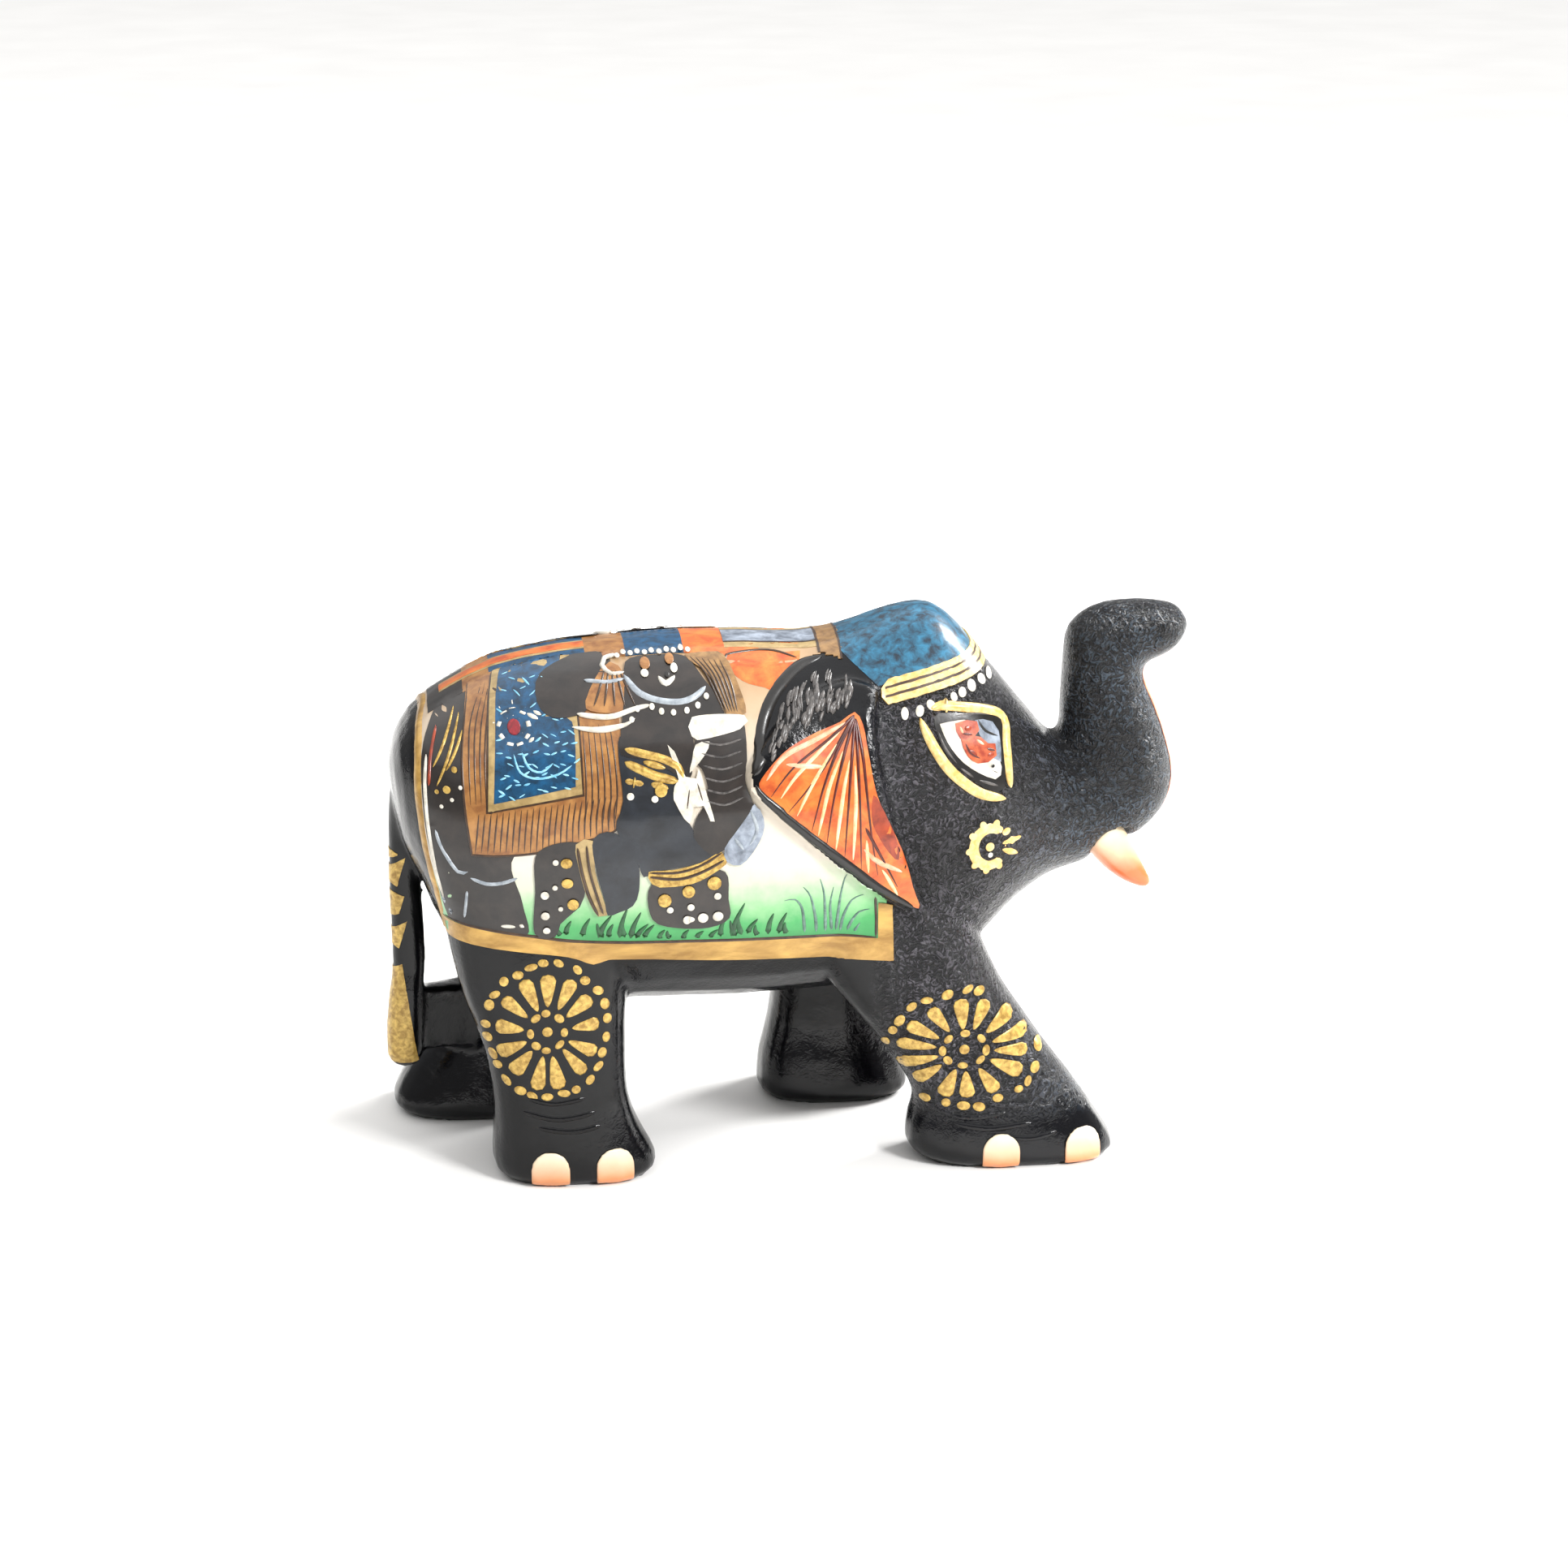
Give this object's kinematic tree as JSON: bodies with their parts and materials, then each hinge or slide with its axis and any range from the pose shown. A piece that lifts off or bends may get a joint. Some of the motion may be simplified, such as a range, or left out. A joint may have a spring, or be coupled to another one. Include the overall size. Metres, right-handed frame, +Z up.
{
  "type": "elephant figurine",
  "caption": "Carved wooden elephant walking with its trunk raised, painted black with a picture saddle cloth and raised gold ornament.",
  "frame": {"origin": "centre of the bounding box on the ground plane, under the belly", "axes": "+X towards the head and trunk, +Y to the elephant's left, +Z up"},
  "size_m": [0.156, 0.0594, 0.1061],
  "materials": {
    "black_lacquered_wood": "gloss lacquer over carved wood",
    "painted_tusk": "gloss paint, orange to cream",
    "cream_ground": "varnished water paint on a chalk ground",
    "gold_paint": "raised gold paint",
    "white_paint": "raised white paint",
    "nail_paint": "raised cream and peach paint"
  },
  "bodies": {
    "root": {"carved_body": "black_lacquered_wood", "tusk_right": "painted_tusk", "tusk_left": "painted_tusk", "cloth_ground": "cream_ground", "cloth_border": "gold_paint", "headband": "gold_paint", "rosette_front_right": "gold_paint", "rosette_front_left": "gold_paint", "rosette_rear_right": "gold_paint", "rosette_rear_left": "gold_paint", "toenails_front_right": "nail_paint", "toenails_front_left": "nail_paint", "toenails_rear_right": "nail_paint", "toenails_rear_left": "nail_paint", "brow_beads_right": "white_paint", "brow_beads_left": "white_paint", "eye_line_right": "gold_paint", "eye_line_left": "gold_paint", "cheek_flower_right": "gold_paint", "cheek_flower_left": "gold_paint"}
  },
  "joints": []
}
